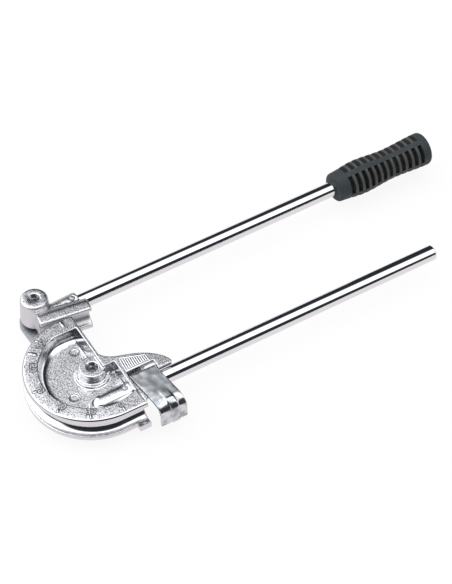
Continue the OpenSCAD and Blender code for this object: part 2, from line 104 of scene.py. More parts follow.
# How far raised marks reach into the metal, the share of a ridge's width that each flank takes, and how thick
# the outline of grime and painted shade lies
MARK_SINK = 0.0002
RIDGE_SLOPE = 0.4
FILM = 0.00005

# Share of the clip's bead that still stands up on the flat plate
BEAD_ON_PLATE = 0.15

# Edges that turn more than this stay sharp
SHARP = math.radians(40)

# Faces round a bar, a pin and an ejector mark, and steps along a round edge and a pin's dome
BAR_STEPS = 128
PIN_STEPS = 48
MARK_STEPS = 64
FILLET_STEPS = 6
DOME_STEPS = 9


def linear(hex_colour):
    """An sRGB hex colour as linear red, green, blue and alpha."""
    parts = [int(hex_colour[i:i + 2], 16) / 255 for i in (1, 3, 5)]
    return tuple(c / 12.92 if c <= 0.04045 else ((c + 0.055) / 1.055) ** 2.4 for c in parts) + (1.0,)


def per_mm(size):
    """The scale of a pattern, in object coordinates, whose features are this many millimetres apart."""
    return 1000 / size


def metres(name, description, default):
    """A length property, in metres."""
    return FloatProperty(name=name, description=description, default=default, unit="LENGTH")


def colour(name, description, hex_colour):
    """A colour property whose default is an sRGB hex value."""
    return FloatVectorProperty(
        name=name, description=description, subtype="COLOR", size=4, min=0, max=1,
        default=linear(hex_colour))


class BenderSizes(bpy.types.PropertyGroup):
    """Sizes of what the looks add to the tube bender, in metres."""

    cast_cell: metres("Cast cell", "Grid that softens the castings' edges", 0.00045)
    clip_cell: metres("Clip cell", "Grid that softens the clip's edges", 0.0003)
    roll_start: metres("Roll-off start", "Radius at which the wheel's flange starts to fall away", 0.0475)
    roll_drop: metres("Roll-off drop", "How far the flange has fallen at the wheel's rim", 0.0003)
    roll_depth: metres("Roll-off depth", "Depth of the wheel's metal that follows the roll-off", 0.005)
    roll_side: metres("Roll-off side", "Where the flange ends beside the clip, along the bars", 0.0205)
    clip_lean: FloatProperty(
        name="Clip lean", description="Angle by which the clip's side leans away from the wheel",
        default=math.radians(6.8), unit="ROTATION")
    lip_gap: metres("Lip gap", "Room between the wheel's lip and the clip", 0.0006)
    lip_drop: metres("Lip drop", "How far the lip lies under the wheel's flange", 0.0002)
    lip_depth: metres("Lip depth", "How far the lip's underside lies under the wheel's flange", 0.003)
    lip_round: metres("Lip rounding", "Rounding of the lip's edges", 0.0004)
    bead_height: metres("Bead height", "Height of the bead that stiffens the clip", 0.0009)
    bead_bend: FloatProperty(
        name="Bead bend", description="Where the clip's plate bends into its hook, across the bars",
        default=-0.057, unit="LENGTH")
    bead_fade: metres(
        "Bead fade", "Length over which the bead grows to its full height in the bend", 0.0045)
    bar_round: metres("Bar end", "Rounding at the free ends of the handle bars", 0.0012)
    seat_step: metres("Seat step", "How far the bars' seats are turned down", 0.00075)
    fixed_seat: metres("Fixed seat", "Length of the fixed bar's seat in the wheel", 0.0525)
    bending_seat: metres("Bending seat", "Length of the bending bar's seat in the head", 0.022)
    pin_dome: metres("Pin dome", "Height of the domed ends of the bar pins", 0.0006)
    thread_radius: metres("Thread radius", "Radius of the threaded pivot holes", 0.00478)
    thread_pitch: metres("Thread pitch", "Pitch of the screw threads in the pivot holes", 0.0015)
    thread_depth: metres("Thread depth", "Height of the screw threads", 0.0006)
    thread_drop: metres("Thread drop", "Open thread above each bolt's end", 0.007)
    numeral_height: metres("Numeral height", "Height of the degree scale's numbers", 0.0054)
    numeral_weight: metres(
        "Numeral weight", "How far the numbers' strokes are thickened on each side", 0.0001)
    numeral_radius: metres("Numeral radius", "Distance of the numbers from the wheel's axis", 0.0479)
    tick_radius: metres("Tick radius", "Distance of the ticks' outer ends from the wheel's axis", 0.0545)
    tick_length: metres("Tick length", "Length of the short ticks", 0.0036)
    tick_width: metres("Tick width", "Width of the short ticks", 0.0013)
    long_mark_width: metres("Long mark width", "Width of the long marks across the scale", 0.003)
    mark_relief: metres("Mark relief", "Height of the raised marks and numbers", 0.0004)
    # The outline is grime and painted shade at the foot of each raised mark
    outline_width: metres("Outline width", "Dull line that tumbling leaves round each raised mark", 0.0006)
    rib_pitch: metres("Rib pitch", "Spacing of the fine ribs on the horn's panel", 0.0019)
    rib_width: metres("Rib width", "Width of the fine ribs and of the panel's border", 0.0012)
    rib_relief: metres("Rib relief", "Height of the fine ribs and of the panel's border", 0.0003)
    dish_floor: metres("Dish floor", "Height of the floor of the wheel's dish", 0.0258)
    ejector_diameter: metres("Ejector diameter", "Diameter of the ejector pins' marks", 0.0078)
    slot_count: IntProperty(
        name="Slots", description="Slots in each row of the grip", default=12, min=1)
    slot_pitch: metres("Slot pitch", "Spacing of the grip's slots", 0.0068)
    slot_width: metres("Slot width", "Width of each slot", 0.0032)
    slot_depth: metres("Slot depth", "Depth of each slot at the waist", 0.002)
    slot_start: metres("Slot start", "Plain grip in front of the slots", 0.0116)
    slot_wall: metres("Slot wall", "Draft of the slots' walls", 0.0003)
    slot_span: FloatProperty(
        name="Slot span", description="Angle that each slot takes round the grip",
        default=math.radians(67), unit="ROTATION")
    grip_edge: metres("Grip edge", "Rounding at the grip's ends", 0.003)
    grip_front: metres("Grip front", "Radius of the grip's front", 0.0134)
    grip_swell: metres("Grip swell", "Radius of the grip's swell", 0.0158)
    grip_waist: metres("Grip waist", "Radius of the grip's waist", 0.0139)
    grip_butt: metres("Grip butt", "Radius of the grip's butt", 0.0154)


class BenderColours(bpy.types.PropertyGroup):
    """Colours of the tube bender's materials and of the studio."""

    cast_bright: colour("Cast metal", "Bright skin of the castings", "#dedee1")
    # Painted shade: grey that darkens the castings' pits
    cast_pit: colour("Cast pits", "Grey in the castings' pits", "#7b828c")
    # Grime and painted shade: the dark outline round raised marks stands for dried paste and for the shade at
    # their feet
    grime: colour("Tumbling grime", "Residue of the tumbling round raised marks", "#454446")
    grime_pale: colour("Pale grime", "Thin residue round raised marks", "#6d6b6c")
    chrome: colour("Chrome", "Chrome plate on the bars", "#e6e6e8")
    clip_plate: colour("Clip plate", "Nickel plate on the clip", "#dadbdd")
    clip_cloud: colour("Clip clouds", "Duller clouds in the clip's plate", "#a4a9b0")
    zinc: colour("Zinc", "Zinc plate on the steel pieces", "#c8cbd0")
    zinc_dull: colour("Dull zinc", "Spangles in the zinc plate", "#9ea3aa")
    thread: colour("Cut thread", "Oily threads in the pivot holes", "#d2d5da")
    thread_oil: colour("Thread oil", "Old oil in the threads' roots", "#8b9097")
    # Painted shade: the thrust washers are coloured nearly black to darken the gap they stand in
    grease: colour("Grease", "Old grease on the thrust washers", "#161515")
    grease_pale: colour("Thin grease", "Thin grease on the thrust washers", "#2b2928")
    spring: colour("Spring steel", "Oiled spring steel", "#6e6f72")
    bronze: colour("Bronze", "Sintered bronze", "#b98f55")
    bronze_pore: colour("Bronze pores", "Oil in the bronze's pores", "#6b4d27")
    rubber: colour("Rubber", "Moulded rubber", "#343b3e")
    rubber_land: colour("Rubber lands", "Rubber rubbed pale between the slots", "#4b4c4c")
    # Painted shade: the near black of the grip's slots
    rubber_slot: colour("Rubber slots", "Rubber in the slots", "#0b0d0e")
    floor: colour("Floor", "Pale floor", "#ffffff")
    floor_mirrored: colour("Mirrored floor", "Pale floor as the metal mirrors it", "#f4eff0")
    room: colour("Room", "Dark room round the softbox", "#2b3137")


# Helpers for nodes, materials and meshes

def add(tree, kind, sockets=None, **settings):
    """Adds a node with its settings; sockets holds values for its inputs, or outputs to link to them."""
    node = tree.nodes.new(kind)
    for key, value in settings.items():
        setattr(node, key, value)
    for key, value in (sockets or {}).items():
        if isinstance(value, bpy.types.NodeSocket):
            tree.links.new(value, node.inputs[key])
        else:
            node.inputs[key].default_value = value
    return node


def new_material(name):
    """An empty material; returns it with its node tree."""
    material = bpy.data.materials.new(name)
    material.use_nodes = True
    material.node_tree.nodes.clear()
    return material, material.node_tree


def place(piece):
    """Puts a new object into the scene."""
    bpy.context.scene.collection.objects.link(piece)
    return piece


def settle(piece):
    """Applies all of a piece's modifiers to its mesh."""
    ready = bpy.data.meshes.new_from_object(piece.evaluated_get(bpy.context.evaluated_depsgraph_get()))
    piece.modifiers.clear()
    piece.data = ready


def dress(piece, material, body=None, node=None):
    """Gives a piece its only material and slot, its body, and the node that it stands for."""
    piece.data.materials.clear()
    piece.data.materials.append(material)
    if body:
        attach(piece, body)
    if node:
        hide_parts(node)
    return piece


def softened(node, name, cell, rounds, keep):
    """A copy of a CAD node whose edges are worn round, as on a casting or a pressing."""
    piece = place(bpy.data.objects.new(name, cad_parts[node].data.copy()))
    piece.modifiers.new("skin", "REMESH").voxel_size = cell
    wear = piece.modifiers.new("wear", "SMOOTH")
    wear.iterations = rounds
    thin = piece.modifiers.new("thin", "DECIMATE")
    thin.ratio = keep
    settle(piece)
    piece.data.shade_smooth()
    return piece


def eased(t):
    """A step from 0 to 1 with flat ends."""
    t = min(max(t, 0.0), 1.0)
    return t * t * (3 - 2 * t)


def roll_off(piece, sizes):
    """Lets the wheel's flange, or the marks on it, fall away a little towards its rim."""
    for vert in piece.data.vertices:
        outward = (math.hypot(vert.co.x, vert.co.y) - sizes.roll_start) / (BEND_R - sizes.roll_start)
        if outward > 0 and vert.co.x < sizes.roll_side:
            upper = eased((vert.co.z - FLANGE_Z) / sizes.roll_depth + 1)
            vert.co.z -= sizes.roll_drop * outward ** 2 * upper


def even(steps):
    """Angles that divide a full turn into equal steps."""
    return [2 * math.pi * i / steps for i in range(steps)]


def turned(name, profile, angles):
    """A mesh turned about X from a profile of (distance along X, radius); radius 0 closes an end."""
    shape = bmesh.new()
    rings = []
    for x, radius in profile:
        around = angles if radius else angles[:1]
        rings.append([shape.verts.new((x, radius * math.sin(a), -radius * math.cos(a))) for a in around])
    for low, high in zip(rings, rings[1:]):
        for i in range(len(angles)):
            j = i + 1
            corners = low[i % len(low)], low[j % len(low)], high[j % len(high)], high[i % len(high)]
            shape.faces.new(list(dict.fromkeys(corners)))
    bmesh.ops.recalc_face_normals(shape, faces=shape.faces)
    return finished(name, shape)


def finished(name, shape):
    """Puts a bmesh into the scene as an object, smooth but for its sharp edges."""
    mesh = bpy.data.meshes.new(name)
    shape.to_mesh(mesh)
    shape.free()
    mesh.shade_smooth()
    mesh.set_sharp_from_angle(angle=SHARP)
    return place(bpy.data.objects.new(name, mesh))


def fillet(x, radius, size, from_deg, to_deg):
    """Points of a round edge of this size about the centre (x, radius), for a turned profile."""
    turn = to_deg - from_deg
    angles = [math.radians(from_deg + turn * i / FILLET_STEPS) for i in range(FILLET_STEPS + 1)]
    return [(x + size * math.cos(a), radius + size * math.sin(a)) for a in angles]


# Materials

def cast_metal(colours, name, pit_mm, pit_relief_mm, swell_relief_mm, wall_sheen):
    """Aluminium, die cast and tumbled: level faces are pitted and slightly wavy, so they glint in grey and
    white clouds, and their pits are coloured grey as painted shade; walls and rounds are smooth and bright.
    The pits are coarser than real, to show."""
    material, tree = new_material(name)
    place_on = add(tree, "ShaderNodeTexCoord")
    spot = place_on.outputs["Object"]
    rise = add(tree, "ShaderNodeSeparateXYZ", {0: place_on.outputs["Normal"]}).outputs["Z"]
    rise = add(tree, "ShaderNodeMath", {0: rise}, operation="ABSOLUTE").outputs[0]
    level = add(tree, "ShaderNodeMapRange", {
        "Value": rise, "From Min": 0.93, "From Max": 0.985}, interpolation_type="SMOOTHSTEP").outputs[0]
    grain = add(tree, "ShaderNodeTexNoise", {
        "Vector": spot, "Scale": per_mm(pit_mm), "Detail": 2.0, "Roughness": 0.6}).outputs["Fac"]
    swell = add(tree, "ShaderNodeTexNoise", {
        "Vector": spot, "Scale": per_mm(11), "Detail": 2.0, "Roughness": 0.6}).outputs["Fac"]
    waves = add(tree, "ShaderNodeBump", {
        "Height": swell, "Strength": level, "Distance": swell_relief_mm / 1000}).outputs[0]
    pits = add(tree, "ShaderNodeBump", {
        "Height": grain, "Strength": level, "Distance": pit_relief_mm / 1000, "Normal": waves}).outputs[0]
    # Painted shade: the hollows of the pitting on level faces are coloured grey
    depth = add(tree, "ShaderNodeMapRange", {
        "Value": grain, "From Min": 0.52, "From Max": 0.36}, interpolation_type="SMOOTHSTEP").outputs[0]
    pit_shade = add(tree, "ShaderNodeMath", {0: depth, 1: level}, operation="MULTIPLY").outputs[0]
    shade = add(tree, "ShaderNodeMix", {
        0: pit_shade, 6: colours.cast_bright, 7: colours.cast_pit}, data_type="RGBA").outputs[2]
    sheen = add(tree, "ShaderNodeMapRange", {"Value": level, "To Min": wall_sheen, "To Max": 0.24}).outputs[0]
    shader = add(tree, "ShaderNodeBsdfPrincipled", {
        "Base Color": shade, "Metallic": 1.0, "Normal": pits, "Roughness": sheen})
    add(tree, "ShaderNodeOutputMaterial", {"Surface": shader.outputs[0]})
    return material


def tumbling_grime(colours):
    """Grime and painted shade round the raised marks of a tumbled casting: a dull grey outline for dried
    polishing paste and for the shade at the marks' feet.
    """
    material, tree = new_material("tumbling_grime")
    spot = add(tree, "ShaderNodeTexCoord").outputs["Object"]
    patch = add(tree, "ShaderNodeTexNoise", {
        "Vector": spot, "Scale": per_mm(2), "Detail": 2.0}).outputs["Fac"]
    thin = add(tree, "ShaderNodeMapRange", {
        "Value": patch, "From Min": 0.35, "From Max": 0.65}, interpolation_type="SMOOTHSTEP").outputs[0]
    shade = add(tree, "ShaderNodeMix", {
        0: thin, 6: colours.grime, 7: colours.grime_pale}, data_type="RGBA").outputs[2]
    dull = add(tree, "ShaderNodeMapRange", {"Value": thin, "To Min": 0.75, "To Max": 0.55}).outputs[0]
    shader = add(tree, "ShaderNodeBsdfPrincipled", {"Base Color": shade, "Roughness": dull})
    add(tree, "ShaderNodeOutputMaterial", {"Surface": shader.outputs[0]})
    return material


def chrome_plate(colours):
    """Chromium, plated on drawn and polished bar: a mirror with faint draw lines along the bar,
    which are coarser than real, to show."""
    material, tree = new_material("polished_chrome_plate")
    spot = add(tree, "ShaderNodeTexCoord").outputs["Object"]
    stretched = add(tree, "ShaderNodeMapping", {"Vector": spot, "Scale": (0.02, 1.0, 1.0)}).outputs[0]
    lines = add(tree, "ShaderNodeTexNoise", {
        "Vector": stretched, "Scale": per_mm(0.8), "Detail": 2.0}).outputs["Fac"]
    polish = add(tree, "ShaderNodeMapRange", {
        "Value": lines, "From Min": 0.35, "From Max": 0.65, "To Min": 0.03, "To Max": 0.09}).outputs[0]
    shader = add(tree, "ShaderNodeBsdfPrincipled", {
        "Base Color": colours.chrome, "Metallic": 1.0, "Roughness": polish})
    add(tree, "ShaderNodeOutputMaterial", {"Surface": shader.outputs[0]})
    return material


def nickel_plate(colours):
    """Nickel, plated on pressed steel: a soft mirror with broad ripples and duller clouds."""
    material, tree = new_material("nickel_plated_pressing")
    spot = add(tree, "ShaderNodeTexCoord").outputs["Object"]
    cloud = add(tree, "ShaderNodeTexNoise", {
        "Vector": spot, "Scale": per_mm(7), "Detail": 3.0}).outputs["Fac"]
    ripple = add(tree, "ShaderNodeTexNoise", {
        "Vector": spot, "Scale": per_mm(14), "Detail": 1.0}).outputs["Fac"]
    bump = add(tree, "ShaderNodeBump", {"Height": ripple, "Strength": 1.0, "Distance": 0.0006}).outputs[0]
    dull = add(tree, "ShaderNodeMapRange", {
        "Value": cloud, "From Min": 0.65, "From Max": 0.35}, interpolation_type="SMOOTHSTEP").outputs[0]
    shade = add(tree, "ShaderNodeMix", {
        0: dull, 6: colours.clip_plate, 7: colours.clip_cloud}, data_type="RGBA").outputs[2]
    sheen = add(tree, "ShaderNodeMapRange", {"Value": dull, "To Min": 0.17, "To Max": 0.26}).outputs[0]
    shader = add(tree, "ShaderNodeBsdfPrincipled", {
        "Base Color": shade, "Metallic": 1.0, "Normal": bump, "Roughness": sheen})
    add(tree, "ShaderNodeOutputMaterial", {"Surface": shader.outputs[0]})
    return material


def zinc_plate(colours):
    """Zinc, plated on turned and pressed steel: pale grey with small dull spangles."""
    material, tree = new_material("zinc_plated_steel")
    spot = add(tree, "ShaderNodeTexCoord").outputs["Object"]
    spangle = add(tree, "ShaderNodeTexVoronoi", {"Vector": spot, "Scale": per_mm(1.6)}).outputs["Color"]
    grey = add(tree, "ShaderNodeRGBToBW", {0: spangle}).outputs[0]
    grain = add(tree, "ShaderNodeTexNoise", {
        "Vector": spot, "Scale": per_mm(0.7), "Detail": 2.0}).outputs["Fac"]
    bump = add(tree, "ShaderNodeBump", {"Height": grain, "Strength": 1.0, "Distance": 0.00002}).outputs[0]
    shade = add(tree, "ShaderNodeMix", {
        0: grey, 6: colours.zinc_dull, 7: colours.zinc}, data_type="RGBA").outputs[2]
    sheen = add(tree, "ShaderNodeMapRange", {"Value": grey, "To Min": 0.36, "To Max": 0.48}).outputs[0]
    shader = add(tree, "ShaderNodeBsdfPrincipled", {
        "Base Color": shade, "Metallic": 1.0, "Normal": bump, "Roughness": sheen})
    add(tree, "ShaderNodeOutputMaterial", {"Surface": shader.outputs[0]})
    return material


def cut_thread(colours):
    """Aluminium, tapped and oily: bright metal with patches that old oil has darkened."""
    material, tree = new_material("tapped_oily_thread")
    spot = add(tree, "ShaderNodeTexCoord").outputs["Object"]
    film = add(tree, "ShaderNodeTexNoise", {"Vector": spot, "Scale": per_mm(3), "Detail": 2.0}).outputs["Fac"]
    oily = add(tree, "ShaderNodeMapRange", {
        "Value": film, "From Min": 0.4, "From Max": 0.6}, interpolation_type="SMOOTHSTEP").outputs[0]
    shade = add(tree, "ShaderNodeMix", {
        0: oily, 6: colours.thread, 7: colours.thread_oil}, data_type="RGBA").outputs[2]
    sheen = add(tree, "ShaderNodeMapRange", {"Value": oily, "To Min": 0.18, "To Max": 0.3}).outputs[0]
    shader = add(tree, "ShaderNodeBsdfPrincipled", {"Base Color": shade, "Metallic": 1.0, "Roughness": sheen})
    add(tree, "ShaderNodeOutputMaterial", {"Surface": shader.outputs[0]})
    return material


def greased_zinc(colours):
    """Painted shade on the thrust washers: zinc plate coloured nearly black, so that the gap a washer stands
    in looks deep.
    """
    material, tree = new_material("painted_shade_washer")
    spot = add(tree, "ShaderNodeTexCoord").outputs["Object"]
    shade_patch = add(tree, "ShaderNodeTexNoise", {
        "Vector": spot, "Scale": per_mm(2.5), "Detail": 2.0}).outputs["Fac"]
    thin = add(tree, "ShaderNodeMapRange", {
        "Value": shade_patch, "From Min": 0.4, "From Max": 0.7}, interpolation_type="SMOOTHSTEP").outputs[0]
    shade = add(tree, "ShaderNodeMix", {
        0: thin, 6: colours.grease, 7: colours.grease_pale}, data_type="RGBA").outputs[2]
    washer_roughness = add(tree, "ShaderNodeMapRange", {"Value": thin, "To Min": 0.55, "To Max": 0.4}).outputs[0]
    shader = add(tree, "ShaderNodeBsdfPrincipled", {"Base Color": shade, "Roughness": washer_roughness})
    add(tree, "ShaderNodeOutputMaterial", {"Surface": shader.outputs[0]})
    return material


def spring_steel(colours):
    """Spring steel, hardened and oiled: dark grey with a satin, slightly streaked sheen."""
    material, tree = new_material("oiled_spring_steel")
    spot = add(tree, "ShaderNodeTexCoord").outputs["Object"]
    streak = add(tree, "ShaderNodeTexNoise", {
        "Vector": spot, "Scale": per_mm(1.2), "Detail": 3.0}).outputs["Fac"]
    sheen = add(tree, "ShaderNodeMapRange", {
        "Value": streak, "From Min": 0.3, "From Max": 0.7, "To Min": 0.25, "To Max": 0.5}).outputs[0]
    shader = add(tree, "ShaderNodeBsdfPrincipled", {
        "Base Color": colours.spring, "Metallic": 1.0, "Roughness": sheen})
    add(tree, "ShaderNodeOutputMaterial", {"Surface": shader.outputs[0]})
    return material


def sintered_bronze(colours):
    """Bronze, pressed from powder and soaked in oil: dull gold with dark pores."""
    material, tree = new_material("sintered_bronze")
    spot = add(tree, "ShaderNodeTexCoord").outputs["Object"]
    grain = add(tree, "ShaderNodeTexNoise", {
        "Vector": spot, "Scale": per_mm(0.5), "Detail": 3.0}).outputs["Fac"]
    pores = add(tree, "ShaderNodeMapRange", {
        "Value": grain, "From Min": 0.5, "From Max": 0.3}, interpolation_type="SMOOTHSTEP").outputs[0]
    shade = add(tree, "ShaderNodeMix", {
        0: pores, 6: colours.bronze, 7: colours.bronze_pore}, data_type="RGBA").outputs[2]
    sheen = add(tree, "ShaderNodeMapRange", {"Value": pores, "To Min": 0.38, "To Max": 0.55}).outputs[0]
    shader = add(tree, "ShaderNodeBsdfPrincipled", {"Base Color": shade, "Metallic": 1.0, "Roughness": sheen})
    add(tree, "ShaderNodeOutputMaterial", {"Surface": shader.outputs[0]})
    return material


def moulded_rubber(colours):
    """Rubber, moulded in a blasted mould: matt charcoal with a fine grain, rubbed pale on the lands between
    the slots, with painted shade that makes the slots nearly black. The grain is coarser than real, to show."""
    material, tree = new_material("moulded_rubber")
    spot = add(tree, "ShaderNodeTexCoord").outputs["Object"]
    grain = add(tree, "ShaderNodeTexNoise", {
        "Vector": spot, "Scale": per_mm(0.9), "Detail": 3.0}).outputs["Fac"]
    dust = add(tree, "ShaderNodeTexNoise", {"Vector": spot, "Scale": per_mm(7), "Detail": 2.0}).outputs["Fac"]
    bump = add(tree, "ShaderNodeBump", {"Height": grain, "Strength": 1.0, "Distance": 0.00012}).outputs[0]
    land = add(tree, "ShaderNodeAttribute", attribute_name="land").outputs["Fac"]
    slot_shade = add(tree, "ShaderNodeAttribute", attribute_name="slot_shade").outputs["Fac"]
    shade = add(tree, "ShaderNodeMix", {
        0: land, 6: colours.rubber, 7: colours.rubber_land}, data_type="RGBA").outputs[2]
    # Painted shade: the slots are coloured nearly black
    shade = add(tree, "ShaderNodeMix", {
        0: slot_shade, 6: shade, 7: colours.rubber_slot}, data_type="RGBA").outputs[2]
    matt = add(tree, "ShaderNodeMapRange", {
        "Value": dust, "From Min": 0.3, "From Max": 0.7, "To Min": 0.55, "To Max": 0.75}).outputs[0]
    shader = add(tree, "ShaderNodeBsdfPrincipled", {
        "Base Color": shade, "Specular IOR Level": 0.4, "Normal": bump, "Roughness": matt})
    add(tree, "ShaderNodeOutputMaterial", {"Surface": shader.outputs[0]})
    return material


def floor_paper(colours):
    """Paper sweep: white to the eye and in the metal, with a soft shadow under the tool."""
    material, tree = new_material("white_paper_sweep")
    spot = add(tree, "ShaderNodeTexCoord").outputs["Object"]
    fibre = add(tree, "ShaderNodeTexNoise", {
        "Vector": spot, "Scale": per_mm(3), "Detail": 3.0}).outputs["Fac"]
    rays = add(tree, "ShaderNodeLightPath")
    matt = add(tree, "ShaderNodeBsdfDiffuse", {"Color": colours.floor, "Roughness": fibre}).outputs[0]
    tint = add(tree, "ShaderNodeMix", {
        0: rays.outputs["Is Glossy Ray"], 6: colours.floor, 7: colours.floor_mirrored},
        data_type="RGBA").outputs[2]
    glow = add(tree, "ShaderNodeEmission", {"Color": tint, "Strength": 1.0}).outputs[0]
    lit = add(tree, "ShaderNodeMixShader", {0: FLOOR_GLOW, 1: matt, 2: glow}).outputs[0]
    seen = add(tree, "ShaderNodeMath", {
        0: rays.outputs["Is Camera Ray"], 1: rays.outputs["Is Glossy Ray"]}, operation="MAXIMUM").outputs[0]
    seen = add(tree, "ShaderNodeMath", {
        0: seen, 1: rays.outputs["Is Transmission Ray"]}, operation="MAXIMUM").outputs[0]
    whole = add(tree, "ShaderNodeMixShader", {0: seen, 1: matt, 2: lit})
    add(tree, "ShaderNodeOutputMaterial", {"Surface": whole.outputs[0]})
    return material


def studio_world(colours):
    """A long white softbox overhead in a dark room; the camera itself sees plain white."""
    world = bpy.data.worlds.new("softbox_studio")
    world.use_nodes = True
    tree = world.node_tree
    tree.nodes.clear()
    ray = add(tree, "ShaderNodeTexCoord").outputs["Generated"]
    height = add(tree, "ShaderNodeSeparateXYZ", {0: ray}).outputs["Z"]
    inside = add(tree, "ShaderNodeMapRange", {
        "Value": height, "From Min": SOFTBOX_LOW[0], "From Max": SOFTBOX_LOW[1]},
        interpolation_type="SMOOTHSTEP").outputs[0]
    for turn, (start, full) in ((SOFTBOX_NEAR_TURN, SOFTBOX_NEAR), (SOFTBOX_FAR_TURN, SOFTBOX_FAR)):
        way = math.radians(CAMERA_AZIMUTH + turn)
        front = (math.sin(way), -math.cos(way), 0)
        reach = add(tree, "ShaderNodeVectorMath", {
            0: ray, 1: front}, operation="DOT_PRODUCT").outputs["Value"]
        lit = add(tree, "ShaderNodeMapRange", {
            "Value": reach, "From Min": start, "From Max": full}, interpolation_type="SMOOTHSTEP").outputs[0]
        inside = add(tree, "ShaderNodeMath", {0: lit, 1: inside}, operation="MULTIPLY").outputs[0]
    room = add(tree, "ShaderNodeBackground", {"Color": colours.room}).outputs[0]
    softbox = add(tree, "ShaderNodeBackground", {
        "Color": colours.floor, "Strength": SOFTBOX_LEVEL}).outputs[0]
    white = add(tree, "ShaderNodeBackground", {"Color": colours.floor}).outputs[0]
    studio = add(tree, "ShaderNodeMixShader", {0: inside, 1: room, 2: softbox}).outputs[0]
    seen = add(tree, "ShaderNodeLightPath").outputs["Is Camera Ray"]
    whole = add(tree, "ShaderNodeMixShader", {0: seen, 1: studio, 2: white})
    add(tree, "ShaderNodeOutputWorld", {"Surface": whole.outputs[0]})
    return world


class BENDER_OT_stage(bpy.types.Operator):
    """Sets the floor, the studio light and the camera."""

    bl_idname = "bender.stage"
    bl_label = "Stage"

    def execute(self, context):
        scene = context.scene
        half = FLOOR_SIZE / 2
        mesh = bpy.data.meshes.new("floor")
        square = ((-half, -half), (half, -half), (half, half), (-half, half))
        mesh.from_pydata([(x, y, CAD_BOX[0].z) for x, y in square], [], [(0, 1, 2, 3)])
        mesh.materials.append(floor_paper(scene.bender_colours))
        place(bpy.data.objects.new("floor", mesh))
        scene.world = studio_world(scene.bender_colours)
        scene.view_settings.view_transform = "Standard"
        camera = place(bpy.data.objects.new("camera", bpy.data.cameras.new("camera")))
        camera.data.sensor_width = SENSOR
        camera.data.lens = FOCAL_PIXELS * SENSOR / IMAGE_HEIGHT
        camera.location = CAMERA_PLACE
        camera.rotation_euler = (math.radians(90 - CAMERA_ELEVATION), 0, math.radians(CAMERA_AZIMUTH))
        scene.camera = camera
        return {"FINISHED"}


class BENDER_OT_castings(bpy.types.Operator):
    """Makes the forming wheel and the bending head as tumbled die castings."""

    bl_idname = "bender.castings"
    bl_label = "Castings"

    def execute(self, context):
        sizes, colours = context.scene.bender_sizes, context.scene.bender_colours
        wheel = softened("forming_wheel", "wheel_casting", sizes.cast_cell, rounds=4, keep=0.25)
        roll_off(wheel, sizes)
        face = cast_metal(colours, "tumbled_cast_face", pit_mm=1.0, pit_relief_mm=0.13, swell_relief_mm=0.15,
                          wall_sheen=0.14)
        dress(wheel, face, "wheel", "forming_wheel")
        head = softened("bending_head", "head_casting", sizes.cast_cell, rounds=24, keep=0.3)
        skin = cast_metal(colours, "tumbled_cast_skin", pit_mm=1.1, pit_relief_mm=0.12, swell_relief_mm=0.2,
                          wall_sheen=0.42)
        dress(head, skin, "handle", "bending_head")
        return {"FINISHED"}


class BENDER_OT_rim_lip(bpy.types.Operator):
    """Casts the thin lip that closes the slit between the wheel's straight side and the leaning clip."""

    bl_idname = "bender.rim_lip"
    bl_label = "Rim lip"

    # The lip's ends beside the clip, its corner at the groove and its root inside the wheel
    FAR_Y = -0.0245
    NEAR_Y = -0.0505
    CORNER = (0.0202, -0.0545)
    ROOT_X = 0.0195

    def clip_side(self, sizes, y):
        """Where the lip ends beside the clip's leaning edge."""
        return CLIP_LOW.x + (self.FAR_Y - y) * math.tan(sizes.clip_lean) - sizes.lip_gap

    def execute(self, context):
        sizes = context.scene.bender_sizes
        outline = ((self.ROOT_X, self.FAR_Y), (self.ROOT_X, self.CORNER[1]), self.CORNER,
                   (self.clip_side(sizes, self.NEAR_Y), self.NEAR_Y),
                   (self.clip_side(sizes, self.FAR_Y), self.FAR_Y))
        shape = bmesh.new()
        low, high = [[shape.verts.new((x, y, FLANGE_Z - drop)) for x, y in outline]
                     for drop in (sizes.lip_depth, sizes.lip_drop)]
        shape.faces.new(reversed(low))
        top = shape.faces.new(high)
        for i in range(len(outline)):
            shape.faces.new((low[i - 1], low[i], high[i], high[i - 1]))
        bmesh.ops.bevel(shape, geom=list(top.edges), offset=sizes.lip_round, segments=4, affect="EDGES",
                        profile=0.5)
        lip = finished("rim_lip", shape)
        dress(lip, bpy.data.materials["tumbled_cast_face"], "wheel")
        return {"FINISHED"}


class BENDER_OT_clip(bpy.types.Operator):
    """Makes the hinged tube clip as a plated pressing."""

    bl_idname = "bender.clip"
    bl_label = "Tube clip"

    def execute(self, context):
        sizes, colours = context.scene.bender_sizes, context.scene.bender_colours
        clip = softened("tube_clip", "clip_pressing", sizes.clip_cell, rounds=18, keep=0.4)
        plate = CLIP_HIGH.z - sizes.bead_height
        for vert in clip.data.vertices:
            if vert.co.z > plate:
                grown = eased((sizes.bead_bend - vert.co.y) / sizes.bead_fade)
                vert.co.z = plate + (vert.co.z - plate) * (BEAD_ON_PLATE + (1 - BEAD_ON_PLATE) * grown)
        dress(clip, nickel_plate(colours), "clip", "tube_clip")
        return {"FINISHED"}


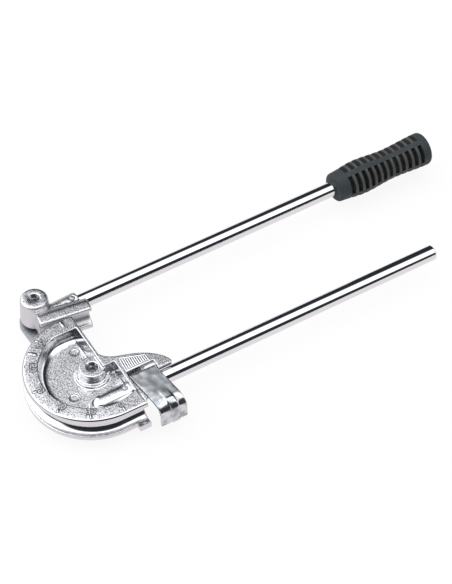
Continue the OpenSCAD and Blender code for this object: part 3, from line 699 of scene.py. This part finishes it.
class BENDER_OT_bars(bpy.types.Operator):
    """Makes the two chrome handle bars with turned seats and rounded ends."""

    bl_idname = "bender.bars"
    bl_label = "Handle bars"

    def execute(self, context):
        sizes = context.scene.bender_sizes
        chrome = chrome_plate(context.scene.bender_colours)
        for node, name, body, seat in (("fixed_handle_bar", "fixed_bar", "wheel", sizes.fixed_seat),
                                       ("bending_handle_bar", "bending_bar", "handle", sizes.bending_seat)):
            low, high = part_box(node)
            radius = (high.z - low.z) / 2
            rise = (high.y - low.y) - 2 * radius
            length = math.hypot(high.x - low.x, rise)
            neck = radius - sizes.seat_step
            edge = sizes.bar_round
            profile = ([(0, 0), (0, neck), (seat, neck), (seat, radius)]
                       + fillet(length - edge, radius - edge, edge, 90, 0) + [(length, 0)])
            bar = turned(name, profile, even(BAR_STEPS))
            start = Vector((low.x, low.y + radius, (low.z + high.z) / 2))
            bar.data.transform(Matrix.Translation(start) @ Matrix.Rotation(math.asin(rise / length), 4, "Z"))
            dress(bar, chrome, body, node)
        return {"FINISHED"}


def grip_radius(sizes, t):
    """The grip's radius a share t along it: swell, waist and butt joined by smooth steps."""
    swell = (sizes.grip_swell - sizes.grip_front) * eased(t / SWELL_AT)
    waist = (sizes.grip_waist - sizes.grip_swell) * eased((t - SWELL_AT) / (WAIST_AT - SWELL_AT))
    butt = (sizes.grip_butt - sizes.grip_waist) * eased((t - WAIST_AT) / (BUTT_AT - WAIST_AT))
    return sizes.grip_front + swell + waist + butt


class BENDER_OT_grip(bpy.types.Operator):
    """Makes the slotted rubber grip."""

    bl_idname = "bender.grip"
    bl_label = "Grip"

    # Rows of slots round the grip, the angle of the first, and steps across a slot, a spine and a plain end
    SLOT_ROWS = 4
    FIRST_ROW = math.radians(60)
    SLOT_STEPS = 12
    SPINE_STEPS = 5
    PLAIN_STEPS = 8

    def stations(self, sizes, start, end):
        """Distances along the grip's side: both ends of each slot's walls, and steps between them."""
        slots = [sizes.slot_start + i * sizes.slot_pitch for i in range(sizes.slot_count)]
        first, last = slots[0] - 2 * sizes.slot_wall, slots[-1] + sizes.slot_width + 2 * sizes.slot_wall
        steps = [i / self.PLAIN_STEPS for i in range(1, self.PLAIN_STEPS)]
        along = [start + (first - start) * t for t in steps] + [last + (end - last) * t for t in steps]
        for slot in slots:
            edge, width = sizes.slot_wall, sizes.slot_width
            along += [slot - 2 * edge, slot - edge, slot, slot + width / 2, slot + width, slot + width + edge,
                      slot + width + 2 * edge]
        return sorted(along)

    def angles(self, sizes):
        """Angles round the grip: both ends of each slot's end walls, and steps between them."""
        turn = 2 * math.pi / self.SLOT_ROWS
        half, wall = sizes.slot_span / 2, sizes.slot_wall / sizes.grip_waist
        around = []
        for row in range(self.SLOT_ROWS):
            middle = self.FIRST_ROW + row * turn
            spine = turn - 2 * half - 4 * wall
            around += [middle - half - wall]
            around += [middle - half + 2 * half * i / self.SLOT_STEPS for i in range(self.SLOT_STEPS + 1)]
            around += [middle + half + wall]
            around += [middle + half + 2 * wall + spine * i / self.SPINE_STEPS
                       for i in range(self.SPINE_STEPS + 1)]
        return around

    def in_row(self, sizes, angle, margin):
        """Whether an angle lies in one of the rows of slots, or within a margin beside it."""
        turn = 2 * math.pi / self.SLOT_ROWS
        away = abs((angle - self.FIRST_ROW + turn / 2) % turn - turn / 2)
        return away < sizes.slot_span / 2 + margin / sizes.grip_waist

    def in_slot(self, sizes, x, margin):
        """Whether a distance along the grip lies in a slot, or within a margin beside it."""
        past = x - sizes.slot_start + margin
        inside = 0 < past < sizes.slot_count * sizes.slot_pitch
        return inside and past % sizes.slot_pitch < sizes.slot_width + 2 * margin

    def execute(self, context):
        sizes = context.scene.bender_sizes
        bore = (BAR_HIGH.z - BAR_LOW.z) / 2
        rise = (BAR_HIGH.y - BAR_LOW.y) - 2 * bore
        lean = math.atan2(rise, BAR_HIGH.x - BAR_LOW.x)
        ends = (sizes.grip_front + sizes.grip_butt) * math.sin(lean)
        length = (GRIP_HIGH.x - GRIP_LOW.x - ends) / math.cos(lean)
        edge = sizes.grip_edge
        front = fillet(edge, grip_radius(sizes, edge / length) - edge, edge, 180, 90)
        butt = fillet(length - edge, sizes.grip_butt - edge, edge, 90, 0)
        side = [(x, grip_radius(sizes, x / length)) for x in self.stations(sizes, edge, length - edge)]
        bar_end = BAR_HIGH.x - GRIP_LOW.x
        inside = [(bar_end, 0), (bar_end, bore), (0, bore)]
        grip = turned("rubber_grip", inside + front + side + butt + [(length, 0)], self.angles(sizes))
        mesh = grip.data
        slot_shade = mesh.attributes.new("slot_shade", "FLOAT", "POINT")
        land = mesh.attributes.new("land", "FLOAT", "POINT")
        # Margins that fall between stations: inner takes in the foot of a slot's wall, outer its top as well,
        # so that the painted shade covers the slot's walls
        inner, outer = 0.5 * sizes.slot_wall, 1.5 * sizes.slot_wall
        slots_end = sizes.slot_start + (sizes.slot_count - 1) * sizes.slot_pitch + sizes.slot_width
        for index, vert in enumerate(mesh.vertices):
            x, y, z = vert.co
            radius = math.hypot(y, z)
            angle = math.atan2(y, -z)
            if radius < bore + edge / 2:
                continue
            if self.in_slot(sizes, x, inner) and self.in_row(sizes, angle, inner):
                share = (sizes.grip_waist - sizes.slot_depth) / radius
                vert.co = (x, y * share, z * share)
            # Painted shade: the slot and its walls are marked to be coloured nearly black
            if self.in_slot(sizes, x, outer) and self.in_row(sizes, angle, outer):
                slot_shade.data[index].value = 1.0
            elif sizes.slot_start < x < slots_end and self.in_row(sizes, angle, outer):
                land.data[index].value = 1.0
        front_x = GRIP_LOW.x + sizes.grip_front * math.sin(lean)
        front_y = BAR_LOW.y + bore + (front_x - BAR_LOW.x) * math.tan(lean)
        start = Vector((front_x, front_y, (GRIP_LOW.z + GRIP_HIGH.z) / 2))
        mesh.transform(Matrix.Translation(start) @ Matrix.Rotation(lean, 4, "Z"))
        dress(grip, moulded_rubber(context.scene.bender_colours), "handle", "handle_grip")
        return {"FINISHED"}


class BENDER_OT_fittings(bpy.types.Operator):
    """Finishes the link, bolts, hinge pin, washers, springs and bushes, which keep their own solids."""

    bl_idname = "bender.fittings"
    bl_label = "Link and pivots"

    def execute(self, context):
        colours = context.scene.bender_colours
        finishes = (
            ("plated_steel", zinc_plate(colours), (
                "swing_link", "wheel_pivot_bolt", "head_pivot_bolt", "clip_hinge_pin")),
            # Painted shade: the thrust washers are coloured nearly black for the shaded gap under the boss
            # and the wheel
            ("plated_steel", greased_zinc(colours), ("wheel_thrust_washer", "head_thrust_washer")),
            ("spring_steel", spring_steel(colours), ("wheel_disc_spring", "head_disc_spring")),
            ("bronze_bush", sintered_bronze(colours), ("wheel_pivot_bush", "head_pivot_bush")),
        )
        for slot, material, nodes in finishes:
            for node in nodes:
                dress(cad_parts[node], material)
        return {"FINISHED"}


class BENDER_OT_bar_pins(bpy.types.Operator):
    """Makes the domed pins that hold the bars in their sockets."""

    bl_idname = "bender.bar_pins"
    bl_label = "Bar pins"

    def execute(self, context):
        sizes = context.scene.bender_sizes
        zinc = bpy.data.materials["zinc_plated_steel"]
        for node, name, body in (("fixed_bar_pin", "fixed_pin", "wheel"),
                                 ("bending_bar_pin", "bending_pin", "handle")):
            low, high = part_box(node)
            radius = (high.x - low.x) / 2
            height = high.z - low.z
            dome = [(height + sizes.pin_dome * math.cos(a), radius * math.sin(a))
                    for a in (math.radians(90 * (1 - i / DOME_STEPS)) for i in range(DOME_STEPS))]
            pin = turned(name, [(0, 0), (0, radius)] + dome + [(height + sizes.pin_dome, 0)], even(PIN_STEPS))
            foot = Vector(((low.x + high.x) / 2, (low.y + high.y) / 2, low.z))
            pin.data.transform(Matrix.Translation(foot) @ Matrix.Rotation(math.radians(-90), 4, "Y"))
            dress(pin, zinc, body, node)
        return {"FINISHED"}


def ridge(shape, start, end, width, relief):
    """Adds a raised bar with sloping sides from start to end, whose foot sinks a little into the metal."""
    along = (end - start).normalized()
    across = Vector((-along.y, along.x, 0))
    up = Vector((0, 0, 1))
    slope = RIDGE_SLOPE * width
    levels = ((0, -MARK_SINK), (0, 0), (slope, relief))
    rings = []
    for inset, height in levels:
        side = across * (width / 2 - inset)
        head, tail = start + along * inset + up * height, end - along * inset + up * height
        corners = head - side, tail - side, tail + side, head + side
        rings.append([shape.verts.new(corner) for corner in corners])
    shape.faces.new(reversed(rings[0]))
    shape.faces.new(rings[-1])
    for low, high in zip(rings, rings[1:]):
        for i in range(4):
            shape.faces.new((low[i], low[(i + 1) % 4], high[(i + 1) % 4], high[i]))


class BENDER_OT_scale(bpy.types.Operator):
    """Raises the wheel's degree scale: ticks, long marks and plain numbers, outlined in grime and painted
    shade.
    """

    bl_idname = "bender.scale"
    bl_label = "Degree scale"

    # Where round the wheel the scale starts, in degrees, which degrees have numbers and which long marks,
    # and how high a numeral stands as a share of its font's size
    ZERO_ANGLE = -89
    NUMBERS = (0, 30, 60, 90, 120, 150)
    LONG_MARKS = (135, 180)
    GLYPH_SHARE = 0.7

    def spoke(self, degrees, radius):
        """The point of the flange at this mark of the scale and this radius."""
        around = math.radians(self.ZERO_ANGLE - degrees)
        return Vector((radius * math.cos(around), radius * math.sin(around), FLANGE_Z))

    def number(self, shape, sizes, degrees, relief, growth):
        """A raised number that reads from outside the wheel."""
        curve = bpy.data.curves.new("number", "FONT")
        curve.body = str(degrees)
        curve.align_x = curve.align_y = "CENTER"
        curve.size = sizes.numeral_height / self.GLYPH_SHARE
        curve.extrude = relief
        curve.offset = sizes.numeral_weight + growth
        curve.resolution_u = 3
        glyph = bpy.data.objects.new("number", curve)
        mesh = bpy.data.meshes.new_from_object(glyph)
        turn = Matrix.Rotation(math.radians(self.ZERO_ANGLE - degrees + 90), 4, "Z")
        mesh.transform(Matrix.Translation(self.spoke(degrees, sizes.numeral_radius)) @ turn)
        shape.from_mesh(mesh)
        bpy.data.objects.remove(glyph)

    def marks(self, sizes, relief, growth):
        """All marks of the scale, each grown by a margin on every side."""
        shape = bmesh.new()
        outer = sizes.tick_radius
        for degrees in self.NUMBERS:
            ridge(shape, self.spoke(degrees, outer - sizes.tick_length - growth),
                  self.spoke(degrees, outer + growth), sizes.tick_width + 2 * growth, relief)
            self.number(shape, sizes, degrees, relief, growth)
        for degrees in self.LONG_MARKS:
            ridge(shape, self.spoke(degrees, outer - 2 * sizes.tick_length - growth),
                  self.spoke(degrees, outer + growth), sizes.long_mark_width + 2 * growth, relief)
        return shape

    def execute(self, context):
        sizes = context.scene.bender_sizes
        scale = finished("degree_scale", self.marks(sizes, sizes.mark_relief, 0))
        roll_off(scale, sizes)
        dress(scale, bpy.data.materials["tumbled_cast_face"], "wheel")
        # Grime and painted shade: a dark outline round every mark
        outline = finished("scale_outline", self.marks(sizes, FILM, sizes.outline_width))
        roll_off(outline, sizes)
        dress(outline, tumbling_grime(context.scene.bender_colours), "wheel")
        return {"FINISHED"}


class BENDER_OT_horn_panel(bpy.types.Operator):
    """Raises the plain panel on the wheel's horn: a thin border round fine ribs."""

    bl_idname = "bender.horn_panel"
    bl_label = "Horn panel"

    # The panel's corners, clockwise from the far left, and the share of a rib's room left free at each end
    CORNERS = ((0.0225, -0.0052), (0.0425, -0.0122), (0.0425, -0.0193), (0.0212, -0.0193))
    RIB_INSET = 0.1

    def execute(self, context):
        sizes = context.scene.bender_sizes
        shape = bmesh.new()
        corners = [Vector((x, y, FLANGE_Z)) for x, y in self.CORNERS]
        for start, end in zip(corners, corners[1:] + corners[:1]):
            ridge(shape, start, end, sizes.rib_width, sizes.rib_relief)
        far_left, far_right, near_right, near_left = corners
        count = round((far_right - far_left).length / sizes.rib_pitch)
        for i in range(1, count):
            far, near = far_left.lerp(far_right, i / count), near_left.lerp(near_right, i / count)
            start, end = far.lerp(near, self.RIB_INSET), far.lerp(near, 1 - self.RIB_INSET)
            ridge(shape, start, end, sizes.rib_width, sizes.rib_relief)
        panel = finished("horn_panel", shape)
        dress(panel, bpy.data.materials["tumbled_cast_face"], "wheel")
        return {"FINISHED"}


class BENDER_OT_ejector_marks(bpy.types.Operator):
    """Rings the marks that the ejector pins left in the wheel's dish with grime and painted shade."""

    bl_idname = "bender.ejector_marks"
    bl_label = "Ejector marks"

    # Where the middles of the marks lie on the dish's floor
    PLACES = ((-0.024, -0.013), (-0.0015, 0.029))

    def execute(self, context):
        sizes = context.scene.bender_sizes
        radius, half = sizes.ejector_diameter / 2, sizes.outline_width / 2
        profile = [(-MARK_SINK, radius - half), (FILM, radius - half), (FILM, radius + half),
                   (-MARK_SINK, radius + half), (-MARK_SINK, radius - half)]
        for number, (x, y) in enumerate(self.PLACES, 1):
            mark = turned("ejector_mark_%d" % number, profile, even(MARK_STEPS))
            stand = Matrix.Translation((x, y, sizes.dish_floor)) @ Matrix.Rotation(math.radians(-90), 4, "Y")
            mark.data.transform(stand)
            # Grime and painted shade: a dark ring round each ejector mark
            dress(mark, bpy.data.materials["tumbling_grime"], "wheel")
        return {"FINISHED"}


class BENDER_OT_threads(bpy.types.Operator):
    """Winds the screw threads that show in the two pivot holes above the bolts' ends."""

    bl_idname = "bender.threads"
    bl_label = "Pivot threads"

    # Steps in a turn of thread, and steps over which each end of the thread runs out
    STEPS = 48
    RUN_OUT = 8

    def execute(self, context):
        sizes = context.scene.bender_sizes
        oily = cut_thread(context.scene.bender_colours)
        pitch = sizes.thread_pitch
        count = round((sizes.thread_drop - pitch) / pitch * self.STEPS)
        for name, body, bolt in (("wheel_thread", "wheel", "wheel_pivot_bolt"),
                                 ("head_thread", "handle", "head_pivot_bolt")):
            low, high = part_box(bolt)
            foot = Vector(((low.x + high.x) / 2, (low.y + high.y) / 2, high.z + pitch / 2))
            shape = bmesh.new()
            rings = []
            for i in range(count + 1):
                angle = 2 * math.pi * i / self.STEPS
                rim = Vector((math.cos(angle), math.sin(angle), 0))
                crest = sizes.thread_radius - sizes.thread_depth * eased(min(i, count - i) / self.RUN_OUT)
                rise = foot + Vector((0, 0, pitch * i / self.STEPS))
                half = Vector((0, 0, pitch / 2))
                rings.append([shape.verts.new(corner) for corner in (
                    rise + rim * sizes.thread_radius - half, rise + rim * crest,
                    rise + rim * sizes.thread_radius + half)])
            for low_ring, high_ring in zip(rings, rings[1:]):
                for i in range(3):
                    j = (i + 1) % 3
                    shape.faces.new((low_ring[i], high_ring[i], high_ring[j], low_ring[j]))
            bmesh.ops.recalc_face_normals(shape, faces=shape.faces)
            dress(finished(name, shape), oily, body)
        return {"FINISHED"}


class BENDER_PT_panel(bpy.types.Panel):
    """Lists the tube bender's operators, sizes and colours."""

    bl_idname = "BENDER_PT_panel"
    bl_label = "Tube bender"
    bl_space_type = "VIEW_3D"
    bl_region_type = "UI"
    bl_category = "Tube bender"

    def draw(self, context):
        for operator in OPERATORS:
            self.layout.operator(operator.bl_idname)
        for group in (context.scene.bender_sizes, context.scene.bender_colours):
            for name in group.__annotations__:
                self.layout.prop(group, name)


OPERATORS = (
    BENDER_OT_stage, BENDER_OT_castings, BENDER_OT_rim_lip, BENDER_OT_clip, BENDER_OT_bars, BENDER_OT_grip,
    BENDER_OT_fittings, BENDER_OT_bar_pins, BENDER_OT_scale, BENDER_OT_horn_panel, BENDER_OT_ejector_marks,
    BENDER_OT_threads)
CLASSES = (BenderSizes, BenderColours) + OPERATORS + (BENDER_PT_panel,)


def register():
    for cls in CLASSES:
        bpy.utils.register_class(cls)
    bpy.types.Scene.bender_sizes = PointerProperty(type=BenderSizes)
    bpy.types.Scene.bender_colours = PointerProperty(type=BenderColours)


def unregister():
    del bpy.types.Scene.bender_sizes
    del bpy.types.Scene.bender_colours
    for cls in reversed(CLASSES):
        bpy.utils.unregister_class(cls)


def main():
    register()
    for operator in OPERATORS:
        group, name = operator.bl_idname.split(".")
        getattr(getattr(bpy.ops, group), name)()


if __name__ == "__main__":
    main()
